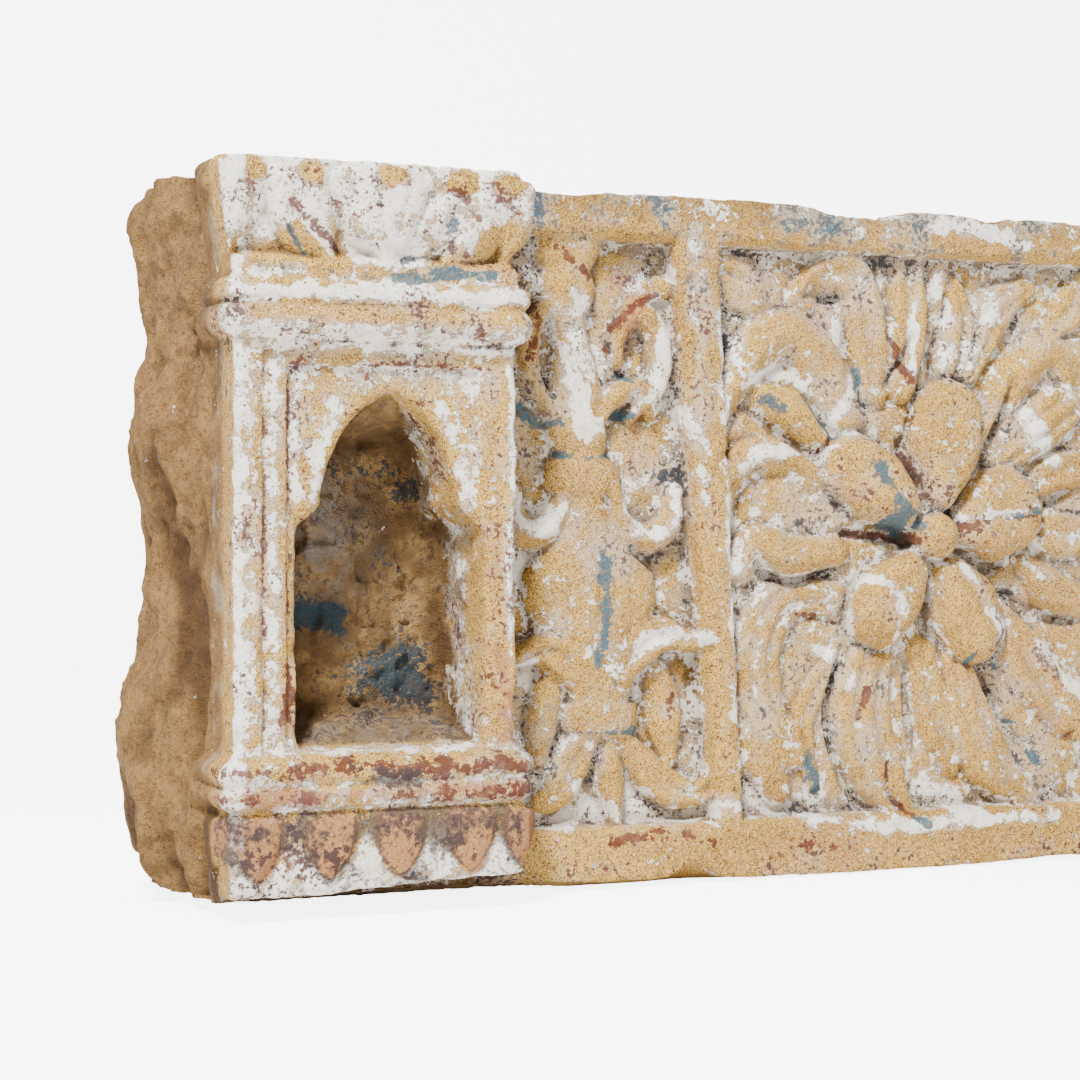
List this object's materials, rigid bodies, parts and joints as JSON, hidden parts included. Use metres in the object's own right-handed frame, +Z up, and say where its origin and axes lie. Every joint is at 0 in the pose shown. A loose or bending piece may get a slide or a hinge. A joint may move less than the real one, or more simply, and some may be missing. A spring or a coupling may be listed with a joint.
{
  "type": "stone relief panel",
  "caption": "Carved sandstone frieze panel: a niched pier at the left, a leafy baluster field and a rosette in a wreath, with worn lime and colour.",
  "frame": {"origin": "middle of the underside of the block", "axes": "+X along the wall to the cut right end, +Y into the wall, +Z up; the carved face looks towards -Y"},
  "size_m": [0.6724, 0.1804, 0.413],
  "materials": {
    "sandstone": "weathered yellow sandstone with flaking white limewash and worn blue, red and pink lime paint"
  },
  "bodies": {
    "root": {"relief_panel": "sandstone"}
  },
  "joints": []
}
